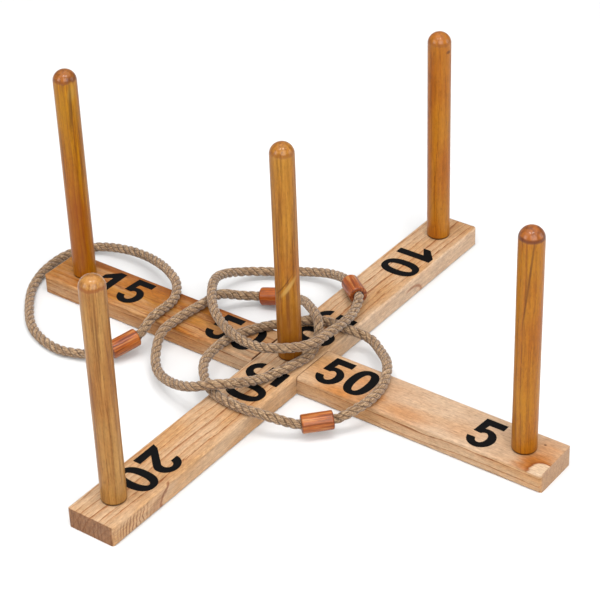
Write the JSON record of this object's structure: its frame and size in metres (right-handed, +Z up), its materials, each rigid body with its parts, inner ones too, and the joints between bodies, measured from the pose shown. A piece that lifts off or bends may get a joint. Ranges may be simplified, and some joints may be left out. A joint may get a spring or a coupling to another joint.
{
  "type": "ring toss set",
  "caption": "Ring toss set: a cross of lapped wooden beams with upright scoring pegs and rope rings closed by wooden ferrules.",
  "frame": {"origin": "on the ground under the middle of the crossing of the two beams", "axes": "+X along the lower beam towards the 5 peg, +Y along the upper beam towards the 10 peg, +Z up along the pegs"},
  "size_m": [0.6287, 0.6, 0.259],
  "materials": {
    "beam_wood": "satin varnish",
    "peg_wood": "gloss varnish",
    "ferrule_wood": "satin",
    "jute_rope": "matt, hairy",
    "zinc_plated_steel": "zinc plated",
    "brass": "plain"
  },
  "bodies": {
    "lower_beam": {"lower_beam": "beam_wood", "thread_insert_5": "brass", "thread_insert_15": "brass", "thread_insert_50": "brass"},
    "upper_beam": {"upper_beam": "beam_wood", "thread_insert_10": "brass", "thread_insert_20": "brass"},
    "peg_5": {"peg_5": "peg_wood", "peg_screw_5": "zinc_plated_steel"},
    "peg_10": {"peg_10": "peg_wood", "peg_screw_10": "zinc_plated_steel"},
    "peg_15": {"peg_15": "peg_wood", "peg_screw_15": "zinc_plated_steel"},
    "peg_20": {"peg_20": "peg_wood", "peg_screw_20": "zinc_plated_steel"},
    "peg_50": {"peg_50": "peg_wood", "peg_screw_50": "zinc_plated_steel"},
    "ring_1": {"ring_rope_1": "jute_rope", "ring_ferrule_1": "ferrule_wood"},
    "ring_2": {"ring_rope_2": "jute_rope", "ring_ferrule_2": "ferrule_wood"},
    "ring_3": {"ring_rope_3": "jute_rope", "ring_ferrule_3": "ferrule_wood"},
    "ring_4": {"ring_rope_4": "jute_rope", "ring_ferrule_4": "ferrule_wood"}
  },
  "joints": [
    {"name": "upper_beam_lift", "type": "slide", "parent": "lower_beam", "child": "upper_beam", "axis": [0, 0, 1], "range_m": [0, 0.04]},
    {"name": "peg_5_lift", "type": "slide", "parent": "lower_beam", "child": "peg_5", "axis": [0, 0, 1], "range_m": [0, 0.03]},
    {"name": "peg_10_lift", "type": "slide", "parent": "upper_beam", "child": "peg_10", "axis": [0, 0, 1], "range_m": [0, 0.03]},
    {"name": "peg_15_lift", "type": "slide", "parent": "lower_beam", "child": "peg_15", "axis": [0, 0, 1], "range_m": [0, 0.03]},
    {"name": "peg_20_lift", "type": "slide", "parent": "upper_beam", "child": "peg_20", "axis": [0, 0, 1], "range_m": [0, 0.03]},
    {"name": "peg_50_lift", "type": "slide", "parent": "upper_beam", "child": "peg_50", "axis": [0, 0, 1], "range_m": [0, 0.03]},
    {"name": "ring_1_lift", "type": "slide", "parent": "lower_beam", "child": "ring_1", "axis": [0, 0, 1], "range_m": [0, 0.27]},
    {"name": "ring_4_lift", "type": "slide", "parent": "upper_beam", "child": "ring_4", "axis": [0, 0, 1], "range_m": [0, 0.27]},
    {"name": "ring_3_lift", "type": "slide", "parent": "ring_4", "child": "ring_3", "axis": [0, 0, 1], "range_m": [0, 0.27]},
    {"name": "ring_2_lift", "type": "slide", "parent": "ring_3", "child": "ring_2", "axis": [0, 0, 1], "range_m": [0, 0.27]}
  ]
}
